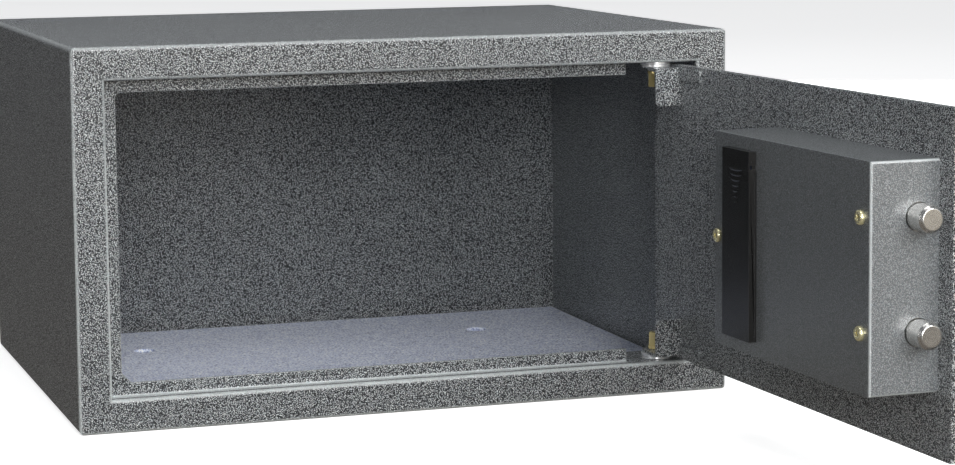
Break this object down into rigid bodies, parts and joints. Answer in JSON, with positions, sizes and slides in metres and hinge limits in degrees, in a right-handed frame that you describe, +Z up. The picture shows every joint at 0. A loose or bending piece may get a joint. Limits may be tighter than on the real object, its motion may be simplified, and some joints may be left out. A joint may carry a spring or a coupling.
{
  "type": "safe deposit box",
  "caption": "Low steel safe with a side-hinged door standing open, a motor-driven lock in a housing on the door's inside, a keypad outside and a felt-lined interior.",
  "frame": {"origin": "centre of the cabinet's base, on the surface that it stands on", "axes": "+X to the right seen from the front, +Y from the front to the back, +Z up; the door's hinge is at +X and the open door reaches towards -Y"},
  "size_m": [0.45, 0.7125, 0.25],
  "materials": {
    "hammertone_steel": "grey hammertone enamel on folded sheet steel",
    "zinc": "bright zinc plate",
    "zinc_bolt": "turned and plated",
    "yellow_zinc": "yellow passivated zinc plate",
    "brass": "turned brass",
    "felt": "blue-grey needle felt",
    "black_plastic": "satin moulded",
    "white_plastic": "moulded",
    "key_rubber": "satin rubber",
    "dark_window": "clear gloss over a dark display",
    "lamp_lens": "tinted lens",
    "circuit_board": "solder mask",
    "motor_can": "pressed can",
    "cell_sleeve": "shrink sleeve",
    "lead_insulation": "satin",
    "ribbon_insulation": "satin"
  },
  "bodies": {
    "cabinet": {"front_frame": "hammertone_steel", "outer_shell": "hammertone_steel", "back_panel": "hammertone_steel", "lip_frame": "hammertone_steel", "lower_hinge_plate": "hammertone_steel", "upper_hinge_plate": "hammertone_steel", "lower_washers": "zinc", "upper_washers": "zinc", "lower_hinge_pin": "brass", "upper_hinge_pin": "brass", "floor_mat": "felt"},
    "door": {"door_plate": "hammertone_steel", "lower_hinge_bracket": "hammertone_steel", "upper_hinge_bracket": "hammertone_steel", "lock_housing": "hammertone_steel", "housing_screws": "yellow_zinc", "housing_post": "zinc", "bolt_guide": "zinc", "motor_bracket": "zinc", "lock_motor": "motor_can", "control_board": "circuit_board", "board_spacers": "white_plastic", "battery_tray": "black_plastic", "battery_contacts": "zinc", "batteries": "cell_sleeve", "battery_lead": "lead_insulation", "motor_lead": "lead_insulation", "ribbon_cable": "ribbon_insulation", "keypad_bezel": "black_plastic", "display_window": "dark_window", "keypad_board": "circuit_board", "status_lamps": "lamp_lens", "panel_screws": "zinc", "override_barrel": "zinc"},
    "bolts": {"bolt_carriage": "zinc", "upper_bolt": "zinc_bolt", "lower_bolt": "zinc_bolt"},
    "pinion": {"drive_pinion": "brass"},
    "override_plug": {"override_plug": "brass"},
    "keyhole_flap": {"keyhole_flap": "black_plastic"},
    "battery_cover": {"battery_cover": "black_plastic"},
    "key_1": {"key_1": "key_rubber"},
    "key_2": {"key_2": "key_rubber"},
    "key_3": {"key_3": "key_rubber"},
    "key_4": {"key_4": "key_rubber"},
    "key_5": {"key_5": "key_rubber"},
    "key_6": {"key_6": "key_rubber"},
    "key_7": {"key_7": "key_rubber"},
    "key_8": {"key_8": "key_rubber"},
    "key_9": {"key_9": "key_rubber"},
    "key_clear": {"key_clear": "key_rubber"},
    "key_0": {"key_0": "key_rubber"},
    "key_enter": {"key_enter": "key_rubber"}
  },
  "joints": [
    {"name": "door_swing", "type": "hinge", "parent": "cabinet", "child": "door", "pos_m": [0.1805, -0.1559, 0], "axis": [0, 0, 1], "range_deg": [-92.5, 12]},
    {"name": "bolt_throw", "type": "slide", "parent": "door", "child": "bolts", "axis": [-0.0436, 0.999, 0], "range_m": [0, 0.01]},
    {"name": "pinion_turn", "type": "hinge", "parent": "door", "child": "pinion", "pos_m": [0.18976, -0.45978, 0.137], "axis": [-0.999, -0.0436, 0], "range_deg": [-96, 0]},
    {"name": "override_turn", "type": "hinge", "parent": "door", "child": "override_plug", "pos_m": [0.18963, -0.38572, 0.1165], "axis": [-0.999, -0.0436, 0], "range_deg": [0, 90]},
    {"name": "flap_swing", "type": "hinge", "parent": "door", "child": "keyhole_flap", "pos_m": [0.21761, -0.3845, 0.1375], "axis": [-0.999, -0.0436, 0], "range_deg": [-100, 100]},
    {"name": "cover_slide", "type": "slide", "parent": "door", "child": "battery_cover", "axis": [0, 0, -1], "range_m": [0, 0.012]},
    {"name": "key_1_press", "type": "slide", "parent": "door", "child": "key_1", "axis": [-0.999, -0.0436, 0], "range_m": [0, 0.001], "stiffness_N_per_m": 400, "springref_m": -0.0005},
    {"name": "key_2_press", "type": "slide", "parent": "door", "child": "key_2", "axis": [-0.999, -0.0436, 0], "range_m": [0, 0.001], "stiffness_N_per_m": 400, "springref_m": -0.0005},
    {"name": "key_3_press", "type": "slide", "parent": "door", "child": "key_3", "axis": [-0.999, -0.0436, 0], "range_m": [0, 0.001], "stiffness_N_per_m": 400, "springref_m": -0.0005},
    {"name": "key_4_press", "type": "slide", "parent": "door", "child": "key_4", "axis": [-0.999, -0.0436, 0], "range_m": [0, 0.001], "stiffness_N_per_m": 400, "springref_m": -0.0005},
    {"name": "key_5_press", "type": "slide", "parent": "door", "child": "key_5", "axis": [-0.999, -0.0436, 0], "range_m": [0, 0.001], "stiffness_N_per_m": 400, "springref_m": -0.0005},
    {"name": "key_6_press", "type": "slide", "parent": "door", "child": "key_6", "axis": [-0.999, -0.0436, 0], "range_m": [0, 0.001], "stiffness_N_per_m": 400, "springref_m": -0.0005},
    {"name": "key_7_press", "type": "slide", "parent": "door", "child": "key_7", "axis": [-0.999, -0.0436, 0], "range_m": [0, 0.001], "stiffness_N_per_m": 400, "springref_m": -0.0005},
    {"name": "key_8_press", "type": "slide", "parent": "door", "child": "key_8", "axis": [-0.999, -0.0436, 0], "range_m": [0, 0.001], "stiffness_N_per_m": 400, "springref_m": -0.0005},
    {"name": "key_9_press", "type": "slide", "parent": "door", "child": "key_9", "axis": [-0.999, -0.0436, 0], "range_m": [0, 0.001], "stiffness_N_per_m": 400, "springref_m": -0.0005},
    {"name": "key_clear_press", "type": "slide", "parent": "door", "child": "key_clear", "axis": [-0.999, -0.0436, 0], "range_m": [0, 0.001], "stiffness_N_per_m": 400, "springref_m": -0.0005},
    {"name": "key_0_press", "type": "slide", "parent": "door", "child": "key_0", "axis": [-0.999, -0.0436, 0], "range_m": [0, 0.001], "stiffness_N_per_m": 400, "springref_m": -0.0005},
    {"name": "key_enter_press", "type": "slide", "parent": "door", "child": "key_enter", "axis": [-0.999, -0.0436, 0], "range_m": [0, 0.001], "stiffness_N_per_m": 400, "springref_m": -0.0005}
  ],
  "couplings": [
    {"joint": "pinion_turn", "follows": "bolt_throw", "rad_per_m": -166.67}
  ]
}
